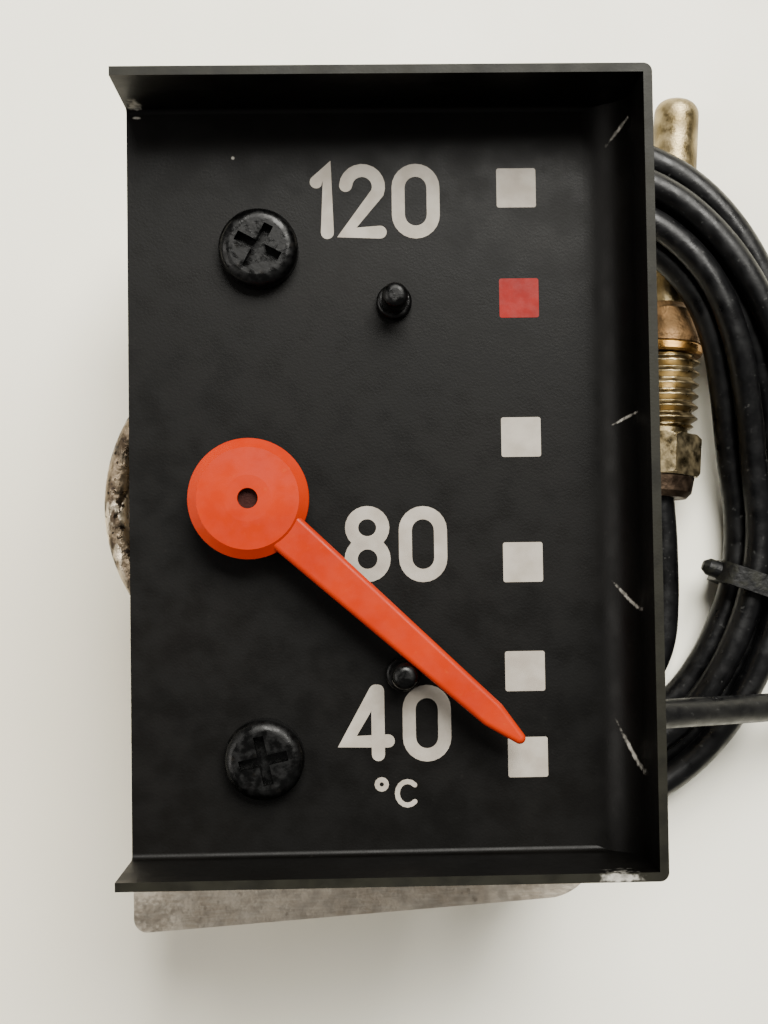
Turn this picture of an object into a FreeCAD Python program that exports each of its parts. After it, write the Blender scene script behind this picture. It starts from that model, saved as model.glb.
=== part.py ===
import FreeCAD, Part
import math
import os

from FreeCAD import Placement, Rotation, Vector

# A capillary temperature gauge insert lying on its back, face up. Millimetres.
# +Z is the dial's normal, +Y points to the dial's high end and +X to its open scale side.
# Everything is laid out about the centre of the front rim, and moved to its origin at the end.

# Heights above the surface that the gauge lies on
PLATE_BACK = 12.7
PLATE_FRONT = 13.9
TUBE_LOW = 15.4
TUBE_HIGH = 21.4
SECTOR_LOW = 18.2
SECTOR_HIGH = 19.2
BRIDGE_BACK = 22.9
BRIDGE_FRONT = 23.9
DIAL_BACK = 30.4
DIAL_FRONT = 31.0
RIM = 39.0

# Folded sheet that carries the dial
SHEET = 0.6
RIM_WIDTH = 36.0
RIM_HEIGHT = 54.0
SHARP_BEND = 0.4
WIDE_BEND = 3.0
CORNER = 0.6

# Pointer and its travel
POINTER_X = -9.45
POINTER_Y = -1.47
POINTER_LENGTH = 25.1
POINTER_REST = -42.2
POINTER_SWEEP = 89.0
HUB_RADIUS = 4.15
ARM_AT_HUB = 1.45
ARM_AT_TIP = 0.92
NIB_LENGTH = 2.9
NIB_RADIUS = 0.4
POINTER_LOW = 33.2
POINTER_HIGH = 35.0
PIN_RADIUS = 0.9
PIN_GAP = 0.03
PIN_FLANGE = 1.25
PIN_REACH = (16.19, 17.24)

# Dial screws, the pillars under them and the studs behind
PILLAR_X = -8.7
PILLAR_YS = (16.2, -19.5)
PILLAR_RADIUS = 2.5
STUD_RADIUS = 2.0
SPIGOT_RADIUS = 1.5
SPIGOT_LENGTH = 9.0
SCREW_RADIUS = 1.5
SCREW_HEAD = 2.8

# Mounting plate
PLATE_LEFT = -20.35
PLATE_RIGHT = 17.0
PLATE_TOP = 26.5
PLATE_FOOT = -35.45
PLATE_FOOT_RIGHT = -33.0
NOTCH_LOW = -26.5
NOTCH_HIGH = -21.8
NOTCH_DEPTH = 3.0
FLANGE_HOLE_RADIUS = 1.7
FLANGE_HOLES = ((-12.0, -30.2), (10.0, -30.2))

# Bourdon tube: a flattened tube bent round its own centre
TUBE_X = -8.0
TUBE_Y = -1.35
TUBE_RADIUS = 12.5
TUBE_THICK = 1.8
TUBE_WALL = 0.3
TUBE_ROOT = -54.0
TUBE_TIP = 28.0
FLEX_AT = -63.0
LINK_PIN_ANGLE = 14.0
CAP_LENGTH = 1.0

# Root block of the tube: its left, right, bottom and top sides, and the line's inlet (y, z)
SOCKET = (-5.5, 3.3, -20.6, -9.9)
INLET = (-18.5, 17.0)

# Gear train: a toothed sector turns the pinion on the pointer's arbor
MODULE = 0.3
PINION_TEETH = 12
SECTOR_TEETH = 48
TEETH_CUT = 7
BACKLASH = 0.07
PRESSURE = math.radians(20)
TAIL = 4.2
TAIL_REST = 101.1
PIVOT = 0.4
ARBOR = 0.7
LINK_PIN = 0.4
OPEN_HOLE = 0.62

# Probe, along its own axis from the back of the union nut towards the bulb's tip
PROBE_AT = Vector(24.77, 1.06, 3.86)
PROBE_LEAN = 4.34
PROBE_DIP = 3.1
BULB_RADIUS = 2.0
BULB_TIP = 34.3
NECK_RADIUS = 1.5
NUT_BORE = 1.55
NUT_ACROSS_FLATS = 6.0
NUT_TURN = 10.0
NUT_NECK = 2.2
NUT_HEX = (0.15, 3.8)
NUT_THREAD = (4.4, 10.85)
THREAD_RADIUS = 3.0
RING = (10.95, 11.9)
CONE_END = 15.5
COLLAR = (-1.75, 0.08)

# Capillary line in its sheath, and the oval coil that it is wound into
SHEATH = 2.4
COIL_X = 18.34
COIL_Y = 0.1
COIL_HALF_WIDTH = 16.7
COIL_HALF_HEIGHT = 25.9
STRAND_GAP = 2.5
FLOOR_LIFT = 1.25
HUMP = 5.3
TIE_LIFT = 1.05
TIE_ANGLE = -20.0
TIE_WIRE = 0.9

LEAD = [
    (8.3, -18.5, 17.0),
    (13.2, -18.5, 17.0),
    (18.12, -18.53, 16.5),
    (23.15, -18.61, 14.0),
    (28.53, -18.75, 10.4),
    (34.22, -18.89, 7.0),
    (39.34, -18.0, 4.9),
    (42.84, -14.6, 3.9),
    (44.14, -9.6, 3.3),
    (43.24, -4.4, 3.2),
    (41.24, 0.6, 3.6),
    (39.14, 5.4, 4.4),
    (37.24, 9.8, 5.1),
]
TAIL_ROUTE = [
    (18.64, -19.92, 2.75),
    (21.32, -18.53, 3.0),
    (23.48, -16.31, 3.1),
    (24.82, -13.46, 3.15),
    (25.12, -9.82, 3.2),
    (25.08, -5.98, 3.45),
    (24.93, -2.92, 3.75),
    (24.67, -0.29, 3.93),
]


def about(x, y, low, high, radius):
    """An upright cylinder between two heights."""
    return Part.makeCylinder(radius, high - low, Vector(x, y, low))


def block(x0, x1, y0, y1, low, high):
    return Part.makeBox(x1 - x0, y1 - y0, high - low, Vector(x0, y0, low))


def joined(shapes):
    """Several overlapping shapes as one clean solid."""
    return shapes[0].fuse(shapes[1:]).removeSplitter()


def polar(x, y, radius, degrees):
    a = math.radians(degrees)
    return Vector(x + radius * math.cos(a), y + radius * math.sin(a), 0)


def prism(points, low, high):
    """An upright prism on a closed outline of (x, y) points."""
    corners = [Vector(p[0], p[1], low) for p in points]
    face = Part.Face(Part.makePolygon(corners + corners[:1]))
    return face.extrude(Vector(0, 0, high - low))


def turned(profile):
    """A solid of revolution about Z from (radius, height) points."""
    corners = [Vector(r, 0, z) for r, z in profile]
    face = Part.Face(Part.makePolygon(corners + corners[:1]))
    return face.revolve(Vector(0, 0, 0), Vector(0, 0, 1), 360)


def bar(x0, y0, r0, x1, y1, r1, low, high):
    """A flat bar with round ends of two radii, its sides tangent to both."""
    length = math.hypot(x1 - x0, y1 - y0)
    heading = math.degrees(math.atan2(y1 - y0, x1 - x0))
    side = math.degrees(math.acos((r0 - r1) / length))
    ends = [(x0, y0, r0, side), (x1, y1, r1, side), (x1, y1, r1, -side), (x0, y0, r0, -side)]
    corners = [polar(x, y, r, heading + turn) for x, y, r, turn in ends]
    middle = prism([(c.x, c.y) for c in corners], low, high)
    return joined([middle, about(x0, y0, low, high, r0), about(x1, y1, low, high, r1)])


def edges_along(shape, axis, keep):
    """The straight edges along an axis whose middle point passes a test."""
    found = []
    for edge in shape.Edges:
        span = edge.Vertexes[-1].Point - edge.Vertexes[0].Point
        if span.Length > 1 and abs(abs(span.normalize().dot(axis)) - 1) < 1e-6:
            if keep(edge.CenterOfMass):
                found.append(edge)
    return found


def make_shield():
    """The dial and its top, bottom and right walls, folded from one sheet and open on the left."""
    half_w = RIM_WIDTH / 2
    half_h = RIM_HEIGHT / 2
    outside = block(-half_w, half_w, -half_h, half_h, DIAL_BACK, RIM)
    x_axis = Vector(1, 0, 0)
    y_axis = Vector(0, 1, 0)
    z_axis = Vector(0, 0, 1)
    outside = outside.makeFillet(CORNER, edges_along(outside, z_axis, lambda p: p.x > 0))
    outside = outside.makeFillet(SHARP_BEND + SHEET, edges_along(outside, x_axis, lambda p: p.z < RIM - 1))
    outside = outside.common(bent_right(half_w, DIAL_BACK, WIDE_BEND + SHEET))
    inside = block(-half_w - 5, half_w - SHEET, -half_h + SHEET, half_h - SHEET, DIAL_FRONT, RIM + 5)
    inside = inside.makeFillet(SHARP_BEND, edges_along(inside, x_axis, lambda p: p.z < RIM))
    inside = inside.common(bent_right(half_w - SHEET, DIAL_FRONT, WIDE_BEND))
    shield = outside.cut(inside)
    holes = [about(PILLAR_X, y, DIAL_BACK - 1, DIAL_FRONT + 1, SCREW_RADIUS + 0.15) for y in PILLAR_YS]
    holes.append(about(POINTER_X, POINTER_Y, DIAL_BACK - 1, DIAL_FRONT + 1, 2.6))
    holes += [about(x, y, DIAL_BACK - 1, DIAL_FRONT + 1, PIN_RADIUS - 0.2) for x, y in stop_places()]
    return shield.cut(holes)


def bent_right(right, low, radius):
    """A block that fills everything inside a wide bend between the dial and the right wall."""
    space = block(-50, right, -50, 50, low, 60)
    return space.makeFillet(radius, edges_along(space, Vector(0, 1, 0), lambda p: p.x > 0 and p.z < RIM))


def stop_places():
    """The two stop pins stand where the arm's side meets them at each end of its travel."""
    places = []
    for reach, angle, side in zip(PIN_REACH, (POINTER_REST, POINTER_REST + POINTER_SWEEP), (-1, 1)):
        half = ARM_AT_HUB + (ARM_AT_TIP - ARM_AT_HUB) * reach / POINTER_LENGTH
        aside = math.degrees(math.asin((half + PIN_RADIUS + PIN_GAP) / reach))
        place = polar(POINTER_X, POINTER_Y, reach, angle + side * aside)
        places.append((place.x, place.y))
    return places


def make_stop_pins():
    pins = []
    for x, y in stop_places():
        post = about(x, y, DIAL_FRONT, POINTER_HIGH - 0.1, PIN_RADIUS)
        post = post.makeFillet(0.5, [e for e in post.Edges if e.CenterOfMass.z > POINTER_HIGH - 0.2])
        flange = about(x, y, DIAL_FRONT, DIAL_FRONT + 0.9, PIN_FLANGE)
        flange = flange.makeFillet(0.25, [e for e in flange.Edges if e.CenterOfMass.z > DIAL_FRONT + 0.8])
        rivet = about(x, y, DIAL_BACK - 0.5, DIAL_FRONT, PIN_RADIUS - 0.2)
        pins.append(joined([post, flange, rivet]))
    return Part.makeCompound(pins)


def make_pointer():
    """A moulded hub with a bevelled rim, and a tapering arm that narrows to a nib."""
    hub = turned(
        [
            (0, POINTER_LOW),
            (HUB_RADIUS, POINTER_LOW),
            (HUB_RADIUS, POINTER_HIGH - 0.7),
            (HUB_RADIUS - 0.65, POINTER_HIGH - 0.12),
            (1.6, POINTER_HIGH),
            (0, POINTER_HIGH),
        ]
    )
    boss = about(0, 0, DIAL_FRONT + 0.7, POINTER_LOW + 0.2, 2.1)
    low = POINTER_LOW + 0.1
    high = POINTER_HIGH - 0.25
    nib = POINTER_LENGTH - NIB_LENGTH
    limb = bar(2.0, 0, ARM_AT_HUB, nib, 0, ARM_AT_TIP, low, high)
    point = bar(nib, 0, ARM_AT_TIP, POINTER_LENGTH - NIB_RADIUS, 0, NIB_RADIUS, low, high)
    arm = joined([limb, point])
    top = [e for e in arm.Edges if e.CenterOfMass.z > POINTER_HIGH - 0.3 and e.CenterOfMass.x > 2]
    arm = arm.makeFillet(0.35, top)
    pointer = joined([hub, boss, arm])
    pointer = pointer.cut(about(0, 0, DIAL_FRONT, POINTER_HIGH + 1, ARBOR))
    pointer.Placement = Placement(Vector(POINTER_X, POINTER_Y, 0), Rotation(Vector(0, 0, 1), POINTER_REST))
    return pointer


def make_dial_screws():
    """Pan heads with a cross recess."""
    screws = []
    for y, turn in zip(PILLAR_YS, (62.0, 12.0)):
        head = about(PILLAR_X, y, DIAL_FRONT, DIAL_FRONT + 1.9, SCREW_HEAD)
        head = head.makeFillet(0.8, [e for e in head.Edges if e.CenterOfMass.z > DIAL_FRONT + 1])
        shank = about(PILLAR_X, y, DIAL_FRONT - 6, DIAL_FRONT, SCREW_RADIUS)
        arms = [block(-1.7, 1.7, -0.35, 0.35, 0.8, 3), block(-0.35, 0.35, -1.7, 1.7, 0.8, 3)]
        cross = joined(arms)
        cross.Placement = Placement(Vector(PILLAR_X, y, DIAL_FRONT), Rotation(Vector(0, 0, 1), turn))
        screws.append(joined([head, shank]).cut(cross))
    return Part.makeCompound(screws)


def make_plate():
    """The plated steel plate that carries the movement. It reaches past the dial's lower edge."""
    corners = [
        (PLATE_LEFT, PLATE_TOP),
        (PLATE_LEFT, NOTCH_HIGH),
        (PLATE_LEFT + NOTCH_DEPTH, NOTCH_HIGH),
        (PLATE_LEFT + NOTCH_DEPTH, NOTCH_LOW),
        (PLATE_LEFT, NOTCH_LOW),
        (PLATE_LEFT, PLATE_FOOT),
        (PLATE_RIGHT, PLATE_FOOT_RIGHT),
        (PLATE_RIGHT, PLATE_TOP),
    ]
    plate = prism(corners, PLATE_BACK, PLATE_FRONT)
    upright = Vector(0, 0, 1)
    plate = plate.makeFillet(4.2, edges_along(plate, upright, lambda p: p.x > 0 and p.y < 0))
    plate = plate.makeFillet(2.0, edges_along(plate, upright, lambda p: p.y > 20))
    foot = edges_along(plate, upright, lambda p: p.x < PLATE_LEFT + 1 and p.y < PLATE_FOOT + 1)
    plate = plate.makeFillet(1.1, foot)
    holes = [about(x, y, 0, DIAL_BACK, FLANGE_HOLE_RADIUS) for x, y in FLANGE_HOLES]
    holes += [about(PILLAR_X, y, 0, DIAL_BACK, STUD_RADIUS + 0.1) for y in PILLAR_YS]
    holes += [about(x, y, 0, DIAL_BACK, 1.3) for x, y in (pinion_axis(), sector_axis())]
    holes += [about(x, y, 0, DIAL_BACK, 1.05) for x, y in SOCKET_SCREWS]
    holes += [about(x, y, 0, DIAL_BACK, 1.0) for x, y in BRIDGE_PILLARS]
    return plate.cut(holes)


def pinion_axis():
    return (POINTER_X, POINTER_Y)


def sector_axis():
    return (POINTER_X + MODULE * (PINION_TEETH + SECTOR_TEETH) / 2, POINTER_Y)


BRIDGE_PILLARS = ((-9.7, 6.6), (-7.6, -9.4))
SOCKET_SCREWS = ((1.7, -12.7), (-2.4, -18.4))


def make_pillars():
    """Shouldered pillars: tapped for the dial screws in front, a stud and a plain spigot behind."""
    pillars = []
    for y in PILLAR_YS:
        body = about(PILLAR_X, y, PLATE_FRONT, DIAL_BACK, PILLAR_RADIUS)
        stud = about(PILLAR_X, y, SPIGOT_LENGTH, PLATE_FRONT + 0.5, STUD_RADIUS)
        spigot = about(PILLAR_X, y, 0, SPIGOT_LENGTH + 0.1, SPIGOT_RADIUS)
        spigot = spigot.makeChamfer(0.35, [e for e in spigot.Edges if e.CenterOfMass.z < 0.1])
        tapped = about(PILLAR_X, y, DIAL_FRONT - 7, DIAL_FRONT, SCREW_RADIUS)
        pillars.append(joined([body, stud, spigot]).cut(tapped))
    return Part.makeCompound(pillars)


def hexagon(x, y, across_flats, low, high):
    corners = [polar(x, y, across_flats / math.sqrt(3), 60 * i) for i in range(6)]
    return prism([(c.x, c.y) for c in corners], low, high)


def bevelled_hexagon(x, y, across_flats, low, high):
    """A hexagon whose corners are cut back by a cone at both ends."""
    corner = across_flats / math.sqrt(3)
    cut = 0.3
    far = corner + 0.02
    cone = turned(
        [(0, low), (corner - cut, low), (far, low + cut), (far, high - cut), (corner - cut, high), (0, high)]
    )
    cone.translate(Vector(x, y, 0))
    return hexagon(x, y, across_flats, low, high).common(cone)


def make_stud_nuts():
    nuts = []
    for y in PILLAR_YS:
        nut = bevelled_hexagon(PILLAR_X, y, 7.0, PLATE_BACK - 3.2, PLATE_BACK - 0.8)
        nuts.append(nut.cut(about(PILLAR_X, y, 0, PLATE_BACK, STUD_RADIUS)))
    return Part.makeCompound(nuts)


def make_stud_washers():
    washers = []
    for y in PILLAR_YS:
        washer = about(PILLAR_X, y, PLATE_BACK - 0.8, PLATE_BACK, 4.2)
        washers.append(washer.cut(about(PILLAR_X, y, 0, PLATE_BACK, STUD_RADIUS + 0.15)))
    return Part.makeCompound(washers)


def make_bridge():
    """The brass bridge over the gear train."""
    low = BRIDGE_BACK
    high = BRIDGE_FRONT
    (ax, ay), (bx, by) = BRIDGE_PILLARS
    px, py = pinion_axis()
    sx, sy = sector_axis()
    limbs = [
        bar(ax, ay, 2.2, px, py, 2.21, low, high),
        bar(px, py, 2.2, bx, by, 2.21, low, high),
        bar(px, py, 2.2, sx, sy, 2.21, low, high),
    ]
    bridge = joined(limbs)
    holes = [about(x, y, 0, RIM, 1.1) for x, y in (pinion_axis(), sector_axis())]
    holes += [about(x, y, 0, RIM, 0.8) for x, y in BRIDGE_PILLARS]
    holes.append(about(px - 1.6, py + 4.1, 0, RIM, 0.5))
    return bridge.cut(holes)


def make_bridge_pillars():
    pillars = []
    for x, y in BRIDGE_PILLARS:
        body = about(x, y, PLATE_FRONT, BRIDGE_BACK, 1.5)
        rivet = about(x, y, PLATE_BACK, PLATE_FRONT, 1.0)
        tapped = about(x, y, BRIDGE_BACK - 3, BRIDGE_BACK, 0.7)
        pillars.append(joined([body, rivet]).cut(tapped))
    return Part.makeCompound(pillars)


def slotted_screw(x, y, seat, head_radius, head_height, shank_radius, shank_end, up, turn):
    """A cheese-head screw. Its head stands on the seat, above it if up is 1 and below it if up is -1."""
    head = about(0, 0, 0, head_height, head_radius)
    head = head.makeFillet(0.2, [e for e in head.Edges if e.CenterOfMass.z > head_height - 0.01])
    shank = about(0, 0, -abs(shank_end - seat), 0, shank_radius)
    slot = block(-head_radius - 1, head_radius + 1, -0.2, 0.2, head_height - 0.45, head_height + 1)
    screw = joined([head, shank]).cut(slot)
    flip = Rotation(Vector(1, 0, 0), 0 if up == 1 else 180)
    screw.Placement = Placement(Vector(x, y, seat), Rotation(Vector(0, 0, 1), turn).multiply(flip))
    return screw


def make_bridge_screws():
    screws = [
        slotted_screw(x, y, BRIDGE_FRONT, 1.5, 1.1, 0.7, BRIDGE_BACK - 2.5, 1, 35 + 50 * i)
        for i, (x, y) in enumerate(BRIDGE_PILLARS)
    ]
    return Part.makeCompound(screws)


def make_socket_screws():
    screws = [
        slotted_screw(x, y, PLATE_BACK, 1.9, 1.3, 1.0, PLATE_FRONT + 2.2, -1, 20 + 70 * i)
        for i, (x, y) in enumerate(SOCKET_SCREWS)
    ]
    return Part.makeCompound(screws)


def make_bushes():
    """Four brass bushes, pressed into the plate and the bridge."""
    bushes = []
    for x, y in (pinion_axis(), sector_axis()):
        rear = about(x, y, PLATE_BACK, PLATE_FRONT + 0.4, 1.3)
        bushes.append(rear.cut(about(x, y, 0, RIM, PIVOT + 0.04)))
        through = ARBOR if (x, y) == pinion_axis() else PIVOT
        front = about(x, y, BRIDGE_BACK, BRIDGE_FRONT + 0.2, 1.1)
        bushes.append(front.cut(about(x, y, 0, RIM, through + 0.04)))
    return Part.makeCompound(bushes)


def make_pointer_arbor():
    x, y = pinion_axis()
    pivot = about(x, y, PLATE_BACK + 0.1, PLATE_FRONT + 0.7, PIVOT)
    shaft = about(x, y, PLATE_FRONT + 0.6, POINTER_HIGH - 0.7, ARBOR)
    return joined([pivot, shaft])


def make_sector_arbor():
    x, y = sector_axis()
    low = about(x, y, PLATE_BACK + 0.1, BRIDGE_FRONT + 0.1, PIVOT)
    shaft = about(x, y, PLATE_FRONT + 0.6, BRIDGE_BACK - 0.2, ARBOR)
    return joined([low, shaft])


def tooth(teeth, at, root):
    """One tooth's flanks as (radius, angle) pairs in order, root to tip to root."""
    pitch_radius = MODULE * teeth / 2
    base = pitch_radius * math.cos(PRESSURE)
    tip = pitch_radius + 0.8 * MODULE
    half = math.pi / (2 * teeth) - BACKLASH / 2 / pitch_radius
    at_pitch = math.tan(PRESSURE) - PRESSURE
    flank = []
    for i in range(4):
        radius = max(base, root) + (tip - max(base, root)) * i / 3
        press = math.acos(base / radius)
        flank.append((radius, half + at_pitch - (math.tan(press) - press)))
    if root < base:
        flank.insert(0, (root, flank[0][1]))
    right = [(r, math.degrees(at - a)) for r, a in flank]
    left = [(r, math.degrees(at + a)) for r, a in reversed(flank)]
    return right + left


def make_pinion():
    x, y = pinion_axis()
    root = MODULE * PINION_TEETH / 2 - 1.15 * MODULE
    outline = []
    for i in range(PINION_TEETH):
        outline += tooth(PINION_TEETH, math.radians(360 / PINION_TEETH * i), root)
    corners = [polar(x, y, r, a) for r, a in outline]
    gear = prism([(c.x, c.y) for c in corners], SECTOR_LOW - 0.7, SECTOR_HIGH + 0.7)
    return gear.cut(about(x, y, 0, RIM, ARBOR))


def make_sector():
    """Teeth face the pinion, with a gap between two of them on the line of centres at rest."""
    x, y = sector_axis()
    root = MODULE * SECTOR_TEETH / 2 - 1.15 * MODULE
    step = 360 / SECTOR_TEETH
    first = 180 + step / 2 - 2 * step
    outline = []
    for i in range(TEETH_CUT):
        outline += tooth(SECTOR_TEETH, math.radians(first + step * i), root)
    last = first + step * (TEETH_CUT - 1)
    rim = [(root, last + step * 0.7), (root - 1.6, last + step * 0.7)]
    rim += [(root - 1.6, last - step * i) for i in range(TEETH_CUT)]
    rim += [(root - 1.6, first - step * 0.7), (root, first - step * 0.7)]
    corners = [polar(x, y, r, a) for r, a in outline + rim]
    toothed = prism([(c.x, c.y) for c in corners], SECTOR_LOW, SECTOR_HIGH)
    spokes = []
    for angle in (first, last):
        end = polar(x, y, root - 0.9, angle)
        spokes.append(bar(x, y, 1.2, end.x, end.y, 0.7, SECTOR_LOW, SECTOR_HIGH))
    pin = tail_pin()
    tail = bar(x, y, 1.3, pin.x, pin.y, 0.95, SECTOR_LOW, SECTOR_HIGH)
    hub = about(x, y, SECTOR_LOW - 0.8, SECTOR_HIGH + 0.5, 1.5)
    sector = joined([toothed, tail, hub] + spokes)
    return sector.cut([about(x, y, 0, RIM, ARBOR), about(pin.x, pin.y, 0, RIM, LINK_PIN)])


def tail_pin():
    x, y = sector_axis()
    return polar(x, y, TAIL, TAIL_REST)


def tip_pin():
    return polar(TUBE_X, TUBE_Y, TUBE_RADIUS, LINK_PIN_ANGLE)


def make_sector_pin():
    pin = tail_pin()
    return headed_pin(pin.x, pin.y, SECTOR_LOW - 0.2)


def headed_pin(x, y, low):
    """A pin with a small head that keeps the link on."""
    head = about(x, y, 20.35, 20.6, 0.75)
    return joined([about(x, y, low, 20.6, LINK_PIN), head])


def make_link():
    """Closed on the tube's pin with a running fit, and open on the sector's pin with play."""
    near = tail_pin()
    far = tip_pin()
    limb = bar(near.x, near.y, 0.46, far.x, far.y, 0.45, 19.5, 20.1)
    eyes = [about(near.x, near.y, 19.5, 20.1, 1.1), about(far.x, far.y, 19.5, 20.1, 0.95)]
    holes = [about(near.x, near.y, 0, RIM, OPEN_HOLE), about(far.x, far.y, 0, RIM, LINK_PIN + 0.04)]
    return joined([limb] + eyes).cut(holes)


def tube_ring(inset, start, sweep):
    """The flattened section, turned through part of a circle round the tube's centre."""
    half = TUBE_THICK / 2 - inset
    middle = (TUBE_LOW + TUBE_HIGH) / 2
    reach = (TUBE_HIGH - TUBE_LOW) / 2 - TUBE_THICK / 2
    r = TUBE_RADIUS
    low = middle - reach
    high = middle + reach
    edges = [
        Part.LineSegment(Vector(r - half, 0, low), Vector(r - half, 0, high)).toShape(),
        Part.Arc(Vector(r - half, 0, high), Vector(r, 0, high + half), Vector(r + half, 0, high)).toShape(),
        Part.LineSegment(Vector(r + half, 0, high), Vector(r + half, 0, low)).toShape(),
        Part.Arc(Vector(r + half, 0, low), Vector(r, 0, low - half), Vector(r - half, 0, low)).toShape(),
    ]
    face = Part.Face(Part.Wire(edges))
    ring = face.revolve(Vector(0, 0, 0), Vector(0, 0, 1), sweep)
    ring.Placement = Placement(Vector(TUBE_X, TUBE_Y, 0), Rotation(Vector(0, 0, 1), start))
    return ring


def make_bourdon_tube():
    sweep = 360 + TUBE_ROOT - TUBE_TIP
    return tube_ring(0, TUBE_TIP, sweep).cut(tube_ring(TUBE_WALL, TUBE_TIP - 5, sweep + 10))


def make_tube_tip():
    """The end plug, with a lug that carries the link's pin."""
    end = polar(TUBE_X, TUBE_Y, TUBE_RADIUS, TUBE_TIP)
    cap = block(-1.2, 1.2, -CAP_LENGTH, 0, TUBE_LOW, TUBE_HIGH)
    cap = cap.makeFillet(0.3, edges_along(cap, Vector(0, 0, 1), lambda p: p.y < -CAP_LENGTH / 2))
    cap.Placement = Placement(Vector(end.x, end.y, 0), Rotation(Vector(0, 0, 1), TUBE_TIP))
    plug = tube_ring(TUBE_WALL + 0.02, TUBE_TIP - 1, 5)
    root = polar(TUBE_X, TUBE_Y, TUBE_RADIUS, TUBE_TIP - 4)
    pin = tip_pin()
    lug = bar(root.x, root.y, 0.86, pin.x, pin.y, 0.85, 18.6, 19.3)
    tip = joined([cap, plug, lug])
    return tip.cut(about(pin.x, pin.y, 0, RIM, LINK_PIN))


def make_tip_pin():
    pin = tip_pin()
    return headed_pin(pin.x, pin.y, 18.4)


def flex_point():
    """The tube's springing is stood in for by a small turn about this point in the socket's slot."""
    return polar(TUBE_X, TUBE_Y, TUBE_RADIUS, FLEX_AT)


def make_socket():
    """The brass block that holds the tube's root and takes the capillary from the right."""
    x0, x1, y0, y1 = SOCKET
    body = block(x0, x1, y0, y1, PLATE_FRONT, TUBE_HIGH + 0.9)
    body = body.makeFillet(0.6, edges_along(body, Vector(0, 0, 1), lambda p: True))
    play = 0.42
    low = TUBE_LOW - play
    high = TUBE_HIGH + 2
    outer = about(TUBE_X, TUBE_Y, low, high, TUBE_RADIUS + TUBE_THICK / 2 + play)
    inner = about(TUBE_X, TUBE_Y, low, high, TUBE_RADIUS - TUBE_THICK / 2 - play)
    end = TUBE_X + 13.8 * math.cos(math.radians(-52.5))
    slot = outer.cut(inner).common(block(x0 - 5, end, -30, 0, low, high))
    inlet_y, inlet_z = INLET
    bore = Part.makeCylinder(0.55, x1 + 3.6, Vector(x1 + 0.1, inlet_y, inlet_z), Vector(-1, 0, 0))
    riser = Part.makeCylinder(0.4, 6.0, Vector(-3.0, inlet_y, inlet_z), Vector(0, 1, 0))
    threads = [about(x, y, 0, PLATE_FRONT + 2.4, 1.0) for x, y in SOCKET_SCREWS]
    return body.cut([slot, bore, riser] + threads)


def make_gland():
    """A crimped ferrule where the sheathed line enters the socket."""
    profile = [(0, 0), (1.9, 0), (1.9, 1.4), (1.55, 1.7), (1.55, 4.4), (1.9, 4.7), (1.9, 5.0), (0, 5.0)]
    gland = turned(profile)
    gland.Placement = Placement(Vector(SOCKET[1], *INLET), Rotation(Vector(0, 1, 0), 90))
    return gland


def make_hairspring():
    """A flat spiral strip, clear of the collet inside it and the stud outside."""
    x, y = pinion_axis()
    turns = 3.5
    steps = int(turns * 24)
    inside = 1.75
    outside = 4.3
    half = 0.09
    start = 110.0

    def at(i, aside):
        share = i / steps
        return polar(x, y, inside + (outside - inside) * share + aside, start + 360 * turns * share)

    outline = [at(i, -half) for i in range(steps + 1)] + [at(i, half) for i in range(steps, -1, -1)]
    return prism([(p.x, p.y) for p in outline], 21.3, 21.9)


def make_hairspring_collet():
    x, y = pinion_axis()
    return about(x, y, 21.0, 22.2, 1.6).cut(about(x, y, 0, RIM, ARBOR))


def make_hairspring_stud():
    x, y = pinion_axis()
    return about(x - 1.6, y + 4.1, 22.1, BRIDGE_FRONT + 0.3, 0.5)


def on_probe(shape, turn=0.0):
    """Places a piece built along Z onto the probe's axis, which leans and dips to the bulb's tip."""
    lean = Rotation(Vector(0, 0, 1), -PROBE_LEAN)
    dip = Rotation(Vector(1, 0, 0), -90 - PROBE_DIP)
    spin = Rotation(Vector(0, 0, 1), turn)
    shape.Placement = Placement(PROBE_AT, lean.multiply(dip).multiply(spin))
    return shape


def make_bulb():
    edge = 1.4
    arc = []
    for i in range(11):
        a = math.radians(9 * i)
        arc.append((BULB_RADIUS - edge + edge * math.cos(a), BULB_TIP - edge + edge * math.sin(a)))
    back = COLLAR[0] + 0.75
    neck = [(0, back), (NECK_RADIUS, back), (NECK_RADIUS, RING[1]), (BULB_RADIUS, RING[1])]
    return on_probe(turned(neck + arc + [(0, BULB_TIP)]))


def make_cone():
    base = RING[1]
    foot = [(BULB_RADIUS, base), (3.15, base), (3.15, base + 0.5)]
    return on_probe(turned(foot + [(2.5, CONE_END - 0.6), (BULB_RADIUS, CONE_END)]))


def make_ring():
    low, high = RING
    profile = [(1.6, low), (3.05, low), (3.2, low + 0.2), (3.2, high - 0.2), (3.05, high), (1.6, high)]
    return on_probe(turned(profile))


def make_union_nut():
    """A hollow screw: hexagon, relief and thread. The thread is its plain outside cylinder."""
    head = bevelled_hexagon(0, 0, NUT_ACROSS_FLATS, *NUT_HEX)
    neck = about(0, 0, NUT_HEX[1] - 0.1, NUT_THREAD[0] + 0.1, NUT_NECK)
    low, high = NUT_THREAD
    r = THREAD_RADIUS
    run_out = 0.7
    ridge = [(r - run_out, low), (r, low + run_out), (r, high - 0.3), (r - 0.3, high)]
    thread = turned([(0, low)] + ridge + [(0, high)])
    nut = joined([head, neck, thread]).cut(about(0, 0, -1, 20, NUT_BORE))
    return on_probe(nut, 30 + NUT_TURN)


def make_collar():
    back, front = COLLAR
    step = back + 0.75
    outside = [(0, back), (2.3, back), (2.75, back + 0.5), (2.95, front)]
    return on_probe(turned(outside + [(NECK_RADIUS, front), (NECK_RADIUS, step), (0, step)]))


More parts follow.
